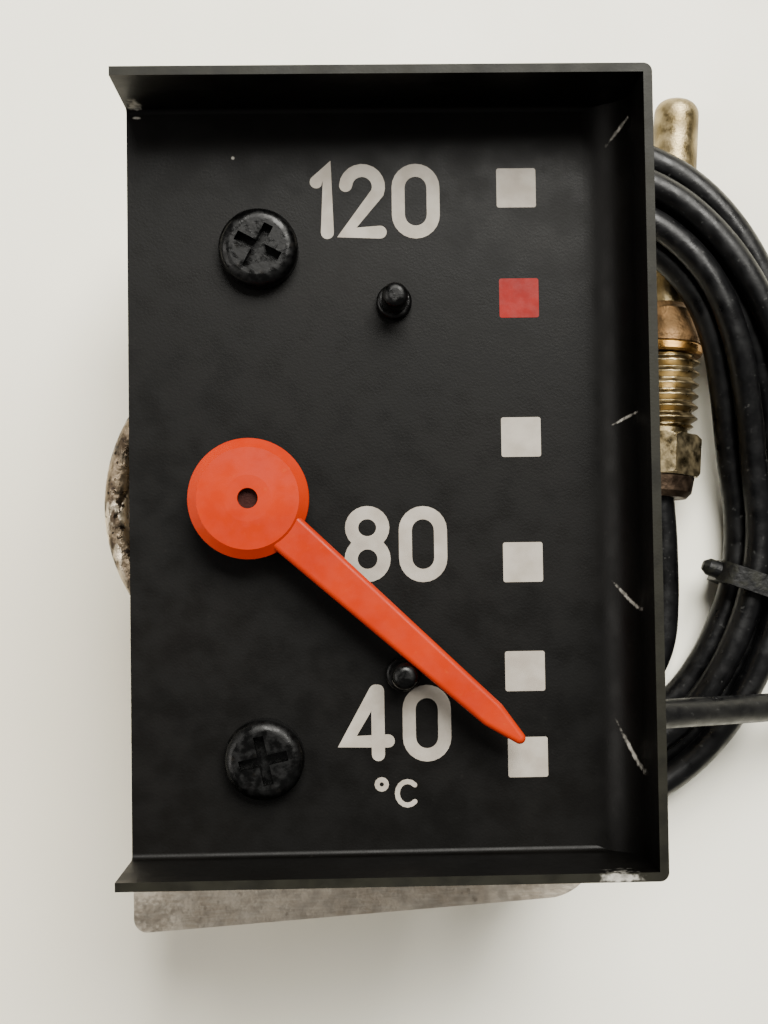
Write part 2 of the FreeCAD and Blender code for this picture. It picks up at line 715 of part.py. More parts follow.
def smooth(value, start, end):
    """Rises smoothly from 0 at start to 1 at end."""
    t = min(1.0, max(0.0, (value - start) / (end - start)))
    return t * t * (3 - 2 * t)


def between(angle, marks):
    """A smooth value between (angle, value) marks, for an angle from -180 to 180."""
    for (a0, v0), (a1, v1) in zip(marks, marks[1:]):
        if a0 <= angle <= a1:
            return v0 + (v1 - v0) * smooth(angle, a0, a1)
    return marks[-1][1]


def spread(angle):
    """How far apart neighbouring strands lie round the coil: flat on the left, bunched at the tie."""
    bunched = [(-78, 1.8), (-42, 1.5), (-20, 1.3), (8, 1.6), (45, 1.4), (80, 1.5)]
    return between(angle, [(-180, 2.62), (-112, 2.62)] + bunched + [(112, 2.62), (180, 2.62)])


def rise(angle):
    """Height of the coil's underside: lifted by the tie's wire, and over the bulb."""
    tied = TIE_LIFT * smooth(angle, -62, -28)
    over = (HUMP - TIE_LIFT) * smooth(angle, -14, 42)
    down = HUMP * smooth(angle, 76, 128)
    return tied + over - down


def stacked(angle):
    """How much higher every second strand lies where they are bunched."""
    return math.sqrt(max(0.0, STRAND_GAP**2 - spread(angle) ** 2))


def outward(slot, angle):
    """A strand's distance outside the coil's middle oval. Slot 0 is outermost."""
    top_gap = 1.1 * smooth(angle, 30, 58) * (1 - smooth(angle, 80, 112))
    side_gap = 0.8 * smooth(angle, -12, 8) * (1 - smooth(angle, 22, 48))
    return (2 - slot) * spread(angle) + top_gap * max(0.0, 1 - slot) - side_gap * smooth(slot, 2, 3)


def on_oval(out, angle, height):
    a = math.radians(angle)
    x = COIL_X + (COIL_HALF_WIDTH + out) * math.cos(a)
    return Vector(x, COIL_Y + (COIL_HALF_HEIGHT + out) * math.sin(a), height)


def outer_slot(angle):
    """The outermost strand's slot. Every strand moves in by one slot behind the gauge."""
    return between(angle, [(-180, 0.5), (-110, 1), (0, 1), (22, 0), (110, 0), (180, 0.5)])


def inner_slot(angle):
    """The innermost strand's slot."""
    return between(angle, [(-180, 4.5), (-110, 5), (-84, 5), (-56, 4), (110, 4), (180, 4.5)])


def coil_section(angle):
    """The envelope's eight corners round the strands at one angle."""
    first = outer_slot(angle)
    last = inner_slot(angle)
    half = SHEATH / 2 + 0.05
    out = outward(first, angle) + half
    inn = outward(last, angle) - half
    low = FLOOR_LIFT + rise(angle) - half
    high = low + 2 * half + stacked(angle)
    cut = 0.7
    outline = [
        (inn, low + cut),
        (inn + cut, low),
        (out - cut, low),
        (out, low + cut),
        (out, high - cut),
        (out - cut, high),
        (inn + cut, high),
        (inn, high - cut),
    ]
    return [on_oval(w, angle, z) for w, z in outline]


def make_coil():
    """A closed ring of flat facets round all the strands."""
    steps = 60
    sections = [coil_section(-180 + 360 * i / steps) for i in range(steps)]
    faces = []
    for i in range(steps):
        here = sections[i]
        ahead = sections[(i + 1) % steps]
        for j in range(8):
            k = (j + 1) % 8
            for corners in ([here[j], here[k], ahead[k]], [here[j], ahead[k], ahead[j]]):
                faces.append(Part.Face(Part.makePolygon(corners + corners[:1])))
    solid = Part.makeSolid(Part.makeShell(faces))
    if solid.Volume < 0:
        solid.reverse()
    return solid


def make_line(name, route):
    """The sheathed line: straight runs joined by tangent arcs as large as the runs allow."""
    points = [Vector(*p) for p in route]
    edges = []
    start = points[0]
    radii = []
    for before, corner, after in zip(points, points[1:], points[2:]):
        back = (before - corner).normalize()
        ahead = (after - corner).normalize()
        turn = math.pi - back.getAngle(ahead)
        reach = 0.45 * min((before - corner).Length, (after - corner).Length)
        radius = reach / math.tan(turn / 2)
        radii.append(radius)
        inside = (back + ahead).normalize()
        centre = corner + inside * (radius / math.cos(turn / 2))
        middle = centre - inside * radius
        edges.append(Part.LineSegment(start, corner + back * reach).toShape())
        edges.append(Part.Arc(corner + back * reach, middle, corner + ahead * reach).toShape())
        start = corner + ahead * reach
    edges.append(Part.LineSegment(start, points[-1]).toShape())
    path = Part.Wire(edges)
    circle = Part.Circle(points[0], points[1] - points[0], SHEATH / 2)
    tube = path.makePipeShell([Part.Wire(circle.toShape())], True, False)
    length = sum(e.Length for e in edges)
    expected = math.pi * (SHEATH / 2) ** 2 * length
    sizes = [round(r, 1) for r in radii]
    print(f"{name}: length {length:.1f} mm, radii {sizes}, volume {tube.Volume:.1f} of {expected:.1f}")
    return tube


def make_tie():
    """A wire loop round the tied strands, with its two ends twisted together on the inner side."""
    angle = TIE_ANGLE
    inn = outward(4, angle) - SHEATH / 2 - 0.2
    out = outward(1, angle) + SHEATH / 2 + 0.2
    low = FLOOR_LIFT + rise(angle) - SHEATH / 2 - 0.15
    high = FLOOR_LIFT + rise(angle) + stacked(angle) + SHEATH / 2 + 0.15
    near = on_oval(inn, angle, low)
    far = on_oval(out, angle, low)
    width = (far - near).Length
    heading = math.degrees(math.atan2(far.y - near.y, far.x - near.x))
    wire = TIE_WIRE
    outer = block(-wire, width + wire, -wire, wire, low - wire, high + wire)
    y_axis = Vector(0, 1, 0)
    outer = outer.makeFillet(1.9, edges_along(outer, y_axis, lambda p: True))
    inner = block(0, width, -wire - 1, wire + 1, low, high)
    inner = inner.makeFillet(1.0, edges_along(inner, y_axis, lambda p: True))
    twist = turned([(0, 0), (0.75, 0), (0.75, 1.1), (0.4, 1.6), (0, 1.6)])
    twist.Placement = Placement(Vector(-wire + 0.2, 0, high - 0.9), Rotation(Vector(0, 1, 0), -90))
    tie = joined([outer.cut(inner), twist])
    tie.Placement = Placement(Vector(near.x, near.y, 0), Rotation(Vector(0, 0, 1), heading))
    return tie


def main():
    pieces = {
        "dial_shield": make_shield(),
        "stop_pins": make_stop_pins(),
        "dial_screws": make_dial_screws(),
        "mounting_plate": make_plate(),
        "dial_pillars": make_pillars(),
        "stud_nuts": make_stud_nuts(),
        "stud_washers": make_stud_washers(),
        "movement_bridge": make_bridge(),
        "bridge_pillars": make_bridge_pillars(),
        "bridge_screws": make_bridge_screws(),
        "socket_screws": make_socket_screws(),
        "bearing_bushes": make_bushes(),
        "pointer": make_pointer(),
        "pointer_arbor": make_pointer_arbor(),
        "pinion": make_pinion(),
        "hairspring_collet": make_hairspring_collet(),
        "hairspring": make_hairspring(),
        "hairspring_stud": make_hairspring_stud(),
        "sector_gear": make_sector(),
        "sector_arbor": make_sector_arbor(),
        "sector_pin": make_sector_pin(),
        "tip_link": make_link(),
        "bourdon_tube": make_bourdon_tube(),
        "tube_tip": make_tube_tip(),
        "tip_pin": make_tip_pin(),
        "tube_socket": make_socket(),
        "capillary_gland": make_gland(),
        "probe_bulb": make_bulb(),
        "sealing_cone": make_cone(),
        "seal_ring": make_ring(),
        "union_nut": make_union_nut(),
        "probe_collar": make_collar(),
        "capillary_coil": make_coil(),
        "capillary_lead": make_line("capillary_lead", LEAD),
        "capillary_tail": make_line("capillary_tail", TAIL_ROUTE),
        "coil_tie": make_tie(),
    }
    left = TUBE_X - TUBE_RADIUS - TUBE_THICK / 2
    top = RIM_HEIGHT / 2
    right = RIM_WIDTH / 2
    origin = Vector((left + right) / 2, (PLATE_FOOT + top) / 2, 0)
    os.makedirs("parts", exist_ok=True)
    for name, shape in pieces.items():
        shape.translate(-origin)
        if not shape.isValid():
            print("not valid:", name)
        shape.exportStep("parts/" + name + ".step")
    print(f"{len(pieces)} pieces, origin at {origin.x:.3f}, {origin.y:.3f} from the rim's centre")


main()
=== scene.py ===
import bpy
import bmesh
import math
from mathutils import Euler, Matrix, Vector


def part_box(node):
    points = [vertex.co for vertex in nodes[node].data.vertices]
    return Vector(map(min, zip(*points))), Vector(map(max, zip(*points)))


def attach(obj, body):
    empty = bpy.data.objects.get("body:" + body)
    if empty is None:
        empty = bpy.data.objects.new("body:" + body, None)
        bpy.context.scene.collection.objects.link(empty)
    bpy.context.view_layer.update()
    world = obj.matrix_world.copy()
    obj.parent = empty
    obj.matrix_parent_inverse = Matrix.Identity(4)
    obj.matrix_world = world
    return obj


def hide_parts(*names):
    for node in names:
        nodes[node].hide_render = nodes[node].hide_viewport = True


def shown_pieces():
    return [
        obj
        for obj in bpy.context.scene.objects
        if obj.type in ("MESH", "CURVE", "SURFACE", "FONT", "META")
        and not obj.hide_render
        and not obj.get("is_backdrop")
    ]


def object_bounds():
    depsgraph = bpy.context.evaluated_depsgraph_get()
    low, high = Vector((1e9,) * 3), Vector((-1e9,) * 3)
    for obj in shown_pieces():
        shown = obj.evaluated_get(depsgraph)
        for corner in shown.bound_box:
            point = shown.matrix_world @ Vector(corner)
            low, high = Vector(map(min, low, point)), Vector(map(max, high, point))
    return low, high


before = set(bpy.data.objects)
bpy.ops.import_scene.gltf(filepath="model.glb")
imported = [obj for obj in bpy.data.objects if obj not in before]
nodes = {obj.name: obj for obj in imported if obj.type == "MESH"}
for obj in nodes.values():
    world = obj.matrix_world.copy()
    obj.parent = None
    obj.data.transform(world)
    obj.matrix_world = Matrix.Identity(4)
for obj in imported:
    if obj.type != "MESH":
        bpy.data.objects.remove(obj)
cad_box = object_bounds()

# Sizes are in millimetres about the centre of the front rim, as they are measured on the object.
# +X points to the scale's marks, +Y to its high end and +Z to the reader. at() turns them into metres.
SHIELD_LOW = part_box("dial_shield")[0]
RIM_LEFT, RIM_FOOT = -18.0, -27.0
RIM, DIAL = 39.0, 31.0


def at(x, y, z):
    east = SHIELD_LOW.x + (x - RIM_LEFT) / 1000
    north = SHIELD_LOW.y + (y - RIM_FOOT) / 1000
    return Vector((east, north, z / 1000))


# ---------------------------------------------------------------- camera
# The eye in millimetres, the lens in millimetres, the tilt in degrees and the roll as a slope
EYE = (-2.056, -5.844, 142.489)
LENS = 55.61
TILT = (1.423, 2.294)
SHIFT = (-0.0113, -0.01457)
ROLL = 0.01474


def make_camera():
    data = bpy.data.cameras.new("camera")
    data.lens = LENS
    data.sensor_width = 36
    data.shift_x, data.shift_y = SHIFT
    data.clip_start = 0.01
    data.clip_end = 10
    camera = bpy.data.objects.new("camera", data)
    bpy.context.scene.collection.objects.link(camera)
    back = Vector((-math.tan(math.radians(TILT[0])), -math.tan(math.radians(TILT[1])), 1)).normalized()
    right = Vector((ROLL, 1, 0)).cross(back).normalized()
    up = back.cross(right)
    turn = Matrix((right, up, back)).transposed().to_4x4()
    camera.matrix_world = Matrix.Translation(at(*EYE)) @ turn
    bpy.context.scene.camera = camera


make_camera()

# ---------------------------------------------------------------- the capillary line
SHEATH = 2.4
COIL_X, COIL_Y = 18.34, 0.1
COIL_HALF_WIDTH, COIL_HALF_HEIGHT = 16.7, 25.9
STRAND_GAP = 2.5
HUMP = 5.3
TIE_LIFT = 1.05
TURNS = 5
# Degrees along the coil: where it starts, how far it stops short of its last turn, and one step
COIL_START, COIL_SHORT, COIL_STEP = 34, 100, 14
# Beyond this angle on either side a strand moves in by one slot, out of sight behind the gauge
CROSSING = 110

LEAD = [
    (8.3, -18.5, 17.0),
    (13.2, -18.5, 17.0),
    (18.12, -18.53, 16.5),
    (23.15, -18.61, 14.0),
    (28.53, -18.75, 10.4),
    (34.22, -18.89, 7.0),
    (39.34, -18.0, 4.9),
    (42.84, -14.6, 3.9),
    (44.14, -9.6, 3.3),
    (43.24, -4.4, 3.2),
    (41.24, 0.6, 3.6),
    (39.14, 5.4, 4.4),
    (37.24, 9.8, 5.1),
]
TAIL = [
    (18.64, -19.92, 2.75),
    (21.32, -18.53, 3.0),
    (23.48, -16.31, 3.1),
    (24.82, -13.46, 3.15),
    (25.12, -9.82, 3.2),
    (25.08, -5.98, 3.45),
    (24.93, -2.92, 3.75),
    (24.67, -0.29, 3.93),
]


def smooth(value, start, end):
    t = min(1.0, max(0.0, (value - start) / (end - start)))
    return t * t * (3 - 2 * t)


def between(angle, marks):
    for (a0, v0), (a1, v1) in zip(marks, marks[1:]):
        if a0 <= angle <= a1:
            return v0 + (v1 - v0) * smooth(angle, a0, a1)
    return marks[-1][1]


def spread(angle):
    """The distance between neighbouring strands, which lie closer together in view."""
    bunched = [(-78, 1.8), (-42, 1.5), (-20, 1.3), (8, 1.6), (45, 1.4), (80, 1.5)]
    return between(angle, [(-180, 2.62), (-112, 2.62)] + bunched + [(112, 2.62), (180, 2.62)])


def rise(angle):
    """How far the lowest strand is off the table, highest where it passes over the probe."""
    tied = TIE_LIFT * smooth(angle, -62, -28)
    over = (HUMP - TIE_LIFT) * smooth(angle, -14, 42)
    down = HUMP * smooth(angle, 76, 128)
    return tied + over - down


def stacked(angle):
    """How far every second strand rides up on its neighbours."""
    return math.sqrt(max(0.0, STRAND_GAP**2 - spread(angle) ** 2))


def outward(slot, angle):
    top_gap = 1.1 * smooth(angle, 30, 58) * (1 - smooth(angle, 80, 112))
    side_gap = 0.8 * smooth(angle, -12, 8) * (1 - smooth(angle, 22, 48))
    return (2 - slot) * spread(angle) + top_gap * max(0.0, 1 - slot) - side_gap * smooth(slot, 2, 3)


def strand(slot, angle):
    """A point on the line's centre. The angle runs from -180 to 180, and slot 0 is outermost."""
    a = math.radians(angle)
    out = outward(slot, angle)
    lift = stacked(angle) * abs(math.sin(math.pi / 2 * slot)) if slot == int(slot) else stacked(angle) * 0.5
    x = COIL_X + (COIL_HALF_WIDTH + out) * math.cos(a)
    y = COIL_Y + (COIL_HALF_HEIGHT + out) * math.sin(a)
    return (x, y, SHEATH / 2 + 0.05 + rise(angle) + lift)


def coil_points():
    """Every turn runs anticlockwise and moves in by one slot behind the gauge."""
    points = []
    total = COIL_START
    while total < TURNS * 360 - COIL_SHORT:
        turn, angle = divmod(total + 180, 360)
        angle -= 180
        if angle > CROSSING:
            slot = turn + 0.5 * smooth(angle, CROSSING, 180)
        elif angle < -CROSSING:
            slot = turn - 0.5 * (1 - smooth(angle, -180, -CROSSING))
        else:
            slot = turn
        points.append(strand(slot, angle))
        total += COIL_STEP
    return points


def line_curve(name, points, radius):
    data = bpy.data.curves.new(name, "CURVE")
    data.dimensions = "3D"
    spline = data.splines.new("NURBS")
    spline.points.add(len(points) - 1)
    for point, place in zip(spline.points, points):
        point.co = (*at(*place), 1)
        point.radius = radius / 1000
    spline.order_u = 3
    spline.use_endpoint_u = True
    spline.resolution_u = 8
    data.bevel_depth = 1.0
    data.bevel_resolution = 6
    data.use_fill_caps = True
    obj = bpy.data.objects.new(name, data)
    bpy.context.scene.collection.objects.link(obj)
    return obj


def make_line():
    line = line_curve("capillary", LEAD + coil_points() + TAIL, SHEATH / 2)
    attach(line, "base")
    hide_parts("capillary_lead", "capillary_coil", "capillary_tail")
    return line


line = make_line()

# ---------------------------------------------------------------- finishes


class Finish:
    """A node material built round one Principled shader. Noise sizes are in millimetres."""

    def __init__(self, name, roughness, metallic=0.0, **sockets):
        self.material = bpy.data.materials.new(name)
        self.material.use_nodes = True
        self.tree = self.material.node_tree
        self.shader = self.tree.nodes["Principled BSDF"]
        self.shader.inputs["Roughness"].default_value = roughness
        self.shader.inputs["Metallic"].default_value = metallic
        for socket, value in sockets.items():
            self.shader.inputs[socket.replace("_", " ")].default_value = value
        self.place = self.tree.nodes.new("ShaderNodeTexCoord").outputs["Object"]

    def node(self, kind, settings, *inputs):
        node = self.tree.nodes.new(kind)
        for key, value in settings.items():
            setattr(node, key, value)
        for i, value in enumerate(inputs):
            if isinstance(value, bpy.types.NodeSocket):
                self.tree.links.new(value, node.inputs[i])
            elif value is not None:
                node.inputs[i].default_value = value
        return node

    def noise(self, size, detail=4.0, stretch=(1, 1, 1), offset=(0, 0, 0)):
        where = self.node("ShaderNodeMapping", {}, self.place, offset, (0, 0, 0), stretch).outputs[0]
        node = self.node("ShaderNodeTexNoise", {}, where)
        node.inputs["Scale"].default_value = 1000 / size
        node.inputs["Detail"].default_value = detail
        return node.outputs[0]

    def ease(self, value, low, high, to_low=0.0, to_high=1.0):
        settings = {"interpolation_type": "SMOOTHSTEP", "clamp": True}
        return self.node("ShaderNodeMapRange", settings, value, low, high, to_low, to_high).outputs[0]

    def math(self, operation, a, b=0.0):
        return self.node("ShaderNodeMath", {"operation": operation}, a, b).outputs[0]

    def patch(self, centre, size, soft=0.5, ragged=0.0, heading=0.0):
        """1 inside an ellipsoid in object millimetres, easing to 0 outside it."""
        turn = (0, 0, math.radians(heading))
        scale = tuple(v / 1000 for v in size)
        kind = {"vector_type": "TEXTURE"}
        local = self.node("ShaderNodeMapping", kind, self.place, at(*centre), turn, scale)
        reach = self.node("ShaderNodeVectorMath", {"operation": "LENGTH"}, local.outputs[0]).outputs["Value"]
        if ragged:
            reach = self.math("ADD", reach, self.ease(self.noise(0.35, 5), 0.3, 0.7, -ragged, ragged))
        return self.ease(reach, 1 - soft, 1 + soft, 1.0, 0.0)

    def above(self, height, soft=0.1):
        depth = self.node("ShaderNodeSeparateXYZ", {}, self.place).outputs[2]
        return self.ease(depth, (height - soft) / 1000, (height + soft) / 1000)

    def mix(self, share, a, b):
        node = self.tree.nodes.new("ShaderNodeMix")
        node.data_type = "RGBA"
        ins = [node.inputs[0], node.inputs[6], node.inputs[7]]
        for socket, value in zip(ins, (share, a, b)):
            if isinstance(value, bpy.types.NodeSocket):
                self.tree.links.new(value, socket)
            elif isinstance(value, tuple):
                socket.default_value = (*value, 1)
            else:
                socket.default_value = value
        return node.outputs[2]

    def colour(self, value):
        self.tree.links.new(value, self.shader.inputs["Base Color"])

    def rough(self, value):
        self.tree.links.new(value, self.shader.inputs["Roughness"])

    def bump(self, height, depth, strength=1.0):
        """Relief whose depth is given in millimetres."""
        node = self.tree.nodes.new("ShaderNodeBump")
        node.inputs["Strength"].default_value = strength
        node.inputs["Distance"].default_value = depth / 1000
        self.tree.links.new(height, node.inputs["Height"])
        self.tree.links.new(node.outputs[0], self.shader.inputs["Normal"])


# Pale streaks along the wide bend and chips in the paint: centre, half length, half width and direction in
# degrees
PALE_MARKS = [
    ((16.62, 24.1, 33.0), 0.85, 0.1, 51),
    ((16.72, 3.81, 33.2), 0.72, 0.08, 27),
    ((16.67, -8.5, 33.2), 1.0, 0.1, -52),
    ((16.76, -19.1, 33.2), 1.5, 0.11, -66),
    ((14.83, -26.7, 39.0), 1.2, 0.24, 0),
    ((-17.3, 26.45, 31.0), 0.42, 0.12, 0),
    ((-17.25, 25.8, 31.0), 0.25, 0.08, 0),
    ((-10.48, 22.87, 31.0), 0.09, 0.09, 0),
]


def black_paint():
    """Semi-matt black over steel: faint mottling, pale streaks along the wide bend and chips at the rim."""
    f = Finish("black_paint", 0.42, Specular_IOR_Level=0.13)
    tone = f.mix(f.ease(f.noise(11, 3), 0.2, 0.85), (0.0011, 0.001, 0.0008), (0.0022, 0.0018, 0.0014))
    dust = f.ease(f.noise(0.5, 3), 0.66, 0.78)
    tone = f.mix(f.math("MULTIPLY", dust, 0.03), tone, (0.09, 0.085, 0.075))
    edge = f.math("MULTIPLY", f.above(RIM - 0.06, 0.05), f.ease(f.noise(1.6, 5), 0.25, 0.6, 0.45, 1.0))
    tone = f.mix(edge, tone, (0.012, 0.0115, 0.008))
    pale_marks = None
    # The first four marks are pale streaks on the wide bend; the rest are chips at the rim and the top-left
    # corner.
    for centre, length, width, heading in PALE_MARKS:
        streak = f.patch(centre, (length, width, 2.0), 0.5, 0.3, heading)
        mark = f.math("MULTIPLY", streak, f.ease(f.noise(0.5, 5), 0.3, 0.6, 0.3, 0.85))
        pale_marks = mark if pale_marks is None else f.math("MAXIMUM", pale_marks, mark)
    tone = f.mix(pale_marks, tone, (0.44, 0.42, 0.37))
    f.colour(tone)
    f.rough(f.ease(f.noise(2.2, 5), 0.3, 0.7, 0.38, 0.5))
    grain = f.math("ADD", f.noise(0.16, 3), f.math("MULTIPLY", f.noise(0.9, 3), 0.7))
    f.bump(grain, 0.012, 0.6)
    return f.material


def black_screw():
    """Blackened steel with a film of grease that glints."""
    f = Finish("blackened_steel", 0.4, 0.0, Specular_IOR_Level=0.2)
    wear = f.ease(f.noise(0.8, 5), 0.62, 0.76)
    f.colour(f.mix(wear, (0.0008, 0.0008, 0.0008), (0.006, 0.005, 0.004)))
    f.rough(f.ease(f.noise(0.6, 4), 0.35, 0.65, 0.2, 0.5))
    f.bump(f.noise(0.35, 4), 0.03, 0.6)
    return f.material


def orange_plastic():
    """Moulded and painted orange-red, with a soft gloss and a little dust."""
    f = Finish("orange_pointer", 0.36, Specular_IOR_Level=0.16)
    tone = f.mix(f.ease(f.noise(5, 3), 0.3, 0.7), (0.31, 0.015, 0.0002), (0.37, 0.021, 0.0003))
    dust = f.ease(f.noise(0.45, 4), 0.64, 0.76)
    f.colour(f.mix(f.math("MULTIPLY", dust, 0.12), tone, (0.42, 0.09, 0.02)))
    f.rough(f.ease(f.noise(1.2, 4), 0.3, 0.7, 0.28, 0.46))
    f.bump(f.noise(0.5, 3), 0.01, 0.5)
    return f.material


def zinc_plate():
    """Dull cream zinc: rolled grain along the plate, stains and pinholes."""
    f = Finish("plated_steel", 0.5, 0.9)
    tone = f.mix(f.ease(f.noise(2.2, 6), 0.3, 0.7), (0.42, 0.36, 0.285), (0.6, 0.53, 0.43))
    grain = f.ease(f.noise(0.5, 5, (0.35, 2.5, 1)), 0.4, 0.72)
    tone = f.mix(f.math("MULTIPLY", grain, 0.35), tone, (0.75, 0.7, 0.6))
    corner = f.patch((-19.0, -33.9, 13.9), (1.6, 1.1, 1.5), 0.6, 0.5)
    stain = f.math("MAXIMUM", f.ease(f.noise(0.9, 6), 0.64, 0.74), corner)
    f.colour(f.mix(f.math("MULTIPLY", stain, 0.5), tone, (0.12, 0.1, 0.075)))
    f.rough(f.ease(f.noise(0.8, 5), 0.3, 0.7, 0.38, 0.66))
    f.bump(f.noise(0.3, 6), 0.04, 0.8)
    return f.material


def turned_metal(name, dark, light, roughness, grain=0.02):
    """Turned or brushed metal with uneven tarnish."""
    f = Finish(name, roughness, 1.0)
    f.colour(f.mix(f.ease(f.noise(1.8, 6), 0.35, 0.68), dark, light))
    f.rough(f.ease(f.noise(0.9, 5), 0.3, 0.7, roughness - 0.1, roughness + 0.15))
    f.bump(f.noise(0.22, 5), grain, 0.7)
    return f.material


def bourdon_bronze():
    """Dark heat-browned bronze with bright flecks, partly solder and partly painted glints, and pitted."""
    f = Finish("dark_bronze", 0.42, 0.95)
    tone = f.mix(f.ease(f.noise(1.6, 6), 0.4, 0.6), (0.05, 0.036, 0.024), (0.24, 0.185, 0.125))
    # Bright flecks on the lower part: partly solder, partly painted glints of light.
    solder_and_glints = f.ease(f.noise(1.5, 6, (1.4, 0.5, 1), (0.01, 0.004, 0)), 0.5, 0.6)
    low = f.patch((-21.0, -2.9, 20.5), (2.2, 4.6, 5.0), 0.5)
    tone = f.mix(f.math("MULTIPLY", solder_and_glints, low), tone, (0.62, 0.53, 0.4))
    pits = f.ease(f.noise(0.45, 5), 0.57, 0.68)
    f.colour(f.mix(pits, tone, (0.02, 0.015, 0.012)))
    f.rough(f.ease(f.noise(0.6, 5), 0.3, 0.7, 0.24, 0.6))
    f.bump(f.math("ADD", f.noise(0.55, 6), f.math("MULTIPLY", solder_and_glints, 0.5)), 0.14, 0.9)
    return f.material


def sheath_rubber():
    """Soft black sheath: low gloss, faint dust and the ripple of a drawn tube."""
    f = Finish("black_sheath", 0.36, Specular_IOR_Level=0.3)
    tone = f.mix(f.ease(f.noise(7, 5), 0.35, 0.7), (0.0013, 0.0013, 0.0015), (0.0028, 0.0028, 0.0031))
    dust = f.ease(f.noise(0.4, 4), 0.63, 0.76)
    f.colour(f.mix(f.math("MULTIPLY", dust, 0.3), tone, (0.1, 0.1, 0.095)))
    f.rough(f.ease(f.noise(1.4, 5), 0.3, 0.7, 0.27, 0.5))
    f.bump(f.math("ADD", f.noise(1.3, 3), f.math("MULTIPLY", f.noise(0.25, 3), 0.3)), 0.05, 0.6)
    return f.material


def tie_coating():
    """Black plastic round a wire, rubbed to olive where it is twisted, the olive partly a painted highlight.
    """
    f = Finish("tie_wire", 0.5, Specular_IOR_Level=0.25)
    # Olive patches: partly rubbed coating, partly painted highlight on the twisted wire.
    rubbed_and_highlight = f.ease(f.noise(0.7, 5), 0.45, 0.65)
    f.colour(f.mix(rubbed_and_highlight, (0.0012, 0.0012, 0.0012), (0.009, 0.009, 0.006)))
    f.bump(f.noise(0.4, 4), 0.08, 0.8)
    return f.material


def print_ink(name, dark, light):
    f = Finish(name, 0.55, Specular_IOR_Level=0.2)
    f.colour(f.mix(f.ease(f.noise(1.5, 5), 0.3, 0.7), dark, light))
    f.rough(f.ease(f.noise(0.6, 4), 0.3, 0.7, 0.45, 0.65))
    f.bump(f.noise(0.2, 3), 0.006, 0.5)
    return f.material


def arbor_steel():
    """Plain steel below, and painted shade on its end down in the pointer's hub."""
    f = Finish("arbor_steel", 0.4, 0.8)
    tone = f.mix(f.ease(f.noise(0.8, 4), 0.3, 0.7), (0.42, 0.41, 0.4), (0.6, 0.59, 0.57))
    # Painted shade: above the dial the arbor's end is coloured dark, as it lies deep in the hub's hole.
    f.colour(f.mix(f.above(DIAL + 1, 0.3), tone, (0.03, 0.008, 0.006)))
    f.bump(f.noise(0.2, 4), 0.02, 0.6)
    return f.material


steel = turned_metal("steel", (0.38, 0.37, 0.36), (0.62, 0.61, 0.6), 0.34)
brass = turned_metal("brass", (0.4, 0.27, 0.1), (0.74, 0.56, 0.27), 0.34)
zinc = zinc_plate()
bronze = bourdon_bronze()
sheath = sheath_rubber()
paint = black_paint()
nut_brass = turned_metal("nut_brass", (0.16, 0.12, 0.06), (0.42, 0.34, 0.2), 0.36)
finishes = {
    "dial_shield": paint,
    "stop_pins": black_screw(),
    "mounting_plate": zinc,
    "stud_nuts": zinc,
    "stud_washers": zinc,
    "pointer": orange_plastic(),
    "pointer_arbor": arbor_steel(),
    "hairspring": turned_metal("spring_bronze", (0.42, 0.26, 0.12), (0.66, 0.45, 0.24), 0.28),
    "bourdon_tube": bronze,
    "tube_tip": bronze,
    "probe_bulb": turned_metal("bulb_brass", (0.14, 0.105, 0.05), (0.42, 0.335, 0.19), 0.42, 0.05),
    "sealing_cone": turned_metal("brown_bronze", (0.05, 0.03, 0.014), (0.19, 0.11, 0.05), 0.5, 0.06),
    "seal_ring": turned_metal("golden_copper", (0.28, 0.14, 0.035), (0.5, 0.28, 0.08), 0.34, 0.03),
    "probe_collar": turned_metal("dark_collar", (0.03, 0.02, 0.014), (0.09, 0.062, 0.042), 0.5, 0.05),
    "coil_tie": tie_coating(),
}
finishes["dial_screws"] = finishes["stop_pins"]
for name in (
    "dial_pillars", "bridge_screws", "socket_screws", "sector_arbor", "sector_pin", "tip_pin", "tip_link",
):
    finishes[name] = steel
for name in (
    "movement_bridge", "bridge_pillars", "bearing_bushes", "pinion", "hairspring_collet",
    "hairspring_stud", "sector_gear", "tube_socket", "capillary_gland",
):
    finishes[name] = brass
for name, finish in finishes.items():
    for place in nodes[name].material_slots:
        place.material = finish
line.data.materials.append(sheath)


# ---------------------------------------------------------------- dial printing
MARK, MARK_CORNER = 2.8, 0.16
INK = 0.03
# The ink starts just inside the dial's face, and each stroke lies a little higher than the one before
INK_SUNK = 0.01
LAYER = 0.006
MARKS = [(9.62, 20.55), (9.69, 12.66), (9.66, 2.76), (9.64, -6.09), (9.65, -13.75), (9.75, -19.77)]
RED_MARK = 1
STROKE, SMALL_STROKE = 0.92, 0.34
FIGURE_TALL, FIGURE_WIDE = 5.35, 3.4
# Each figure's digits with their centres
FIGURES = [
    [("1", (-4.1, 19.68)), ("2", (-1.35, 19.68)), ("0", (2.45, 19.66))],
    [("8", (-1.32, -4.66)), ("0", (2.6, -4.72))],
    [("4", (-1.5, -17.2)), ("0", (2.68, -17.28))],
]


def printed(mesh, name, ink):
    obj = bpy.data.objects.new(name, mesh)
    bpy.context.scene.collection.objects.link(obj)
    obj.data.materials.clear()
    obj.data.materials.append(ink)
    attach(obj, "base")
    return obj


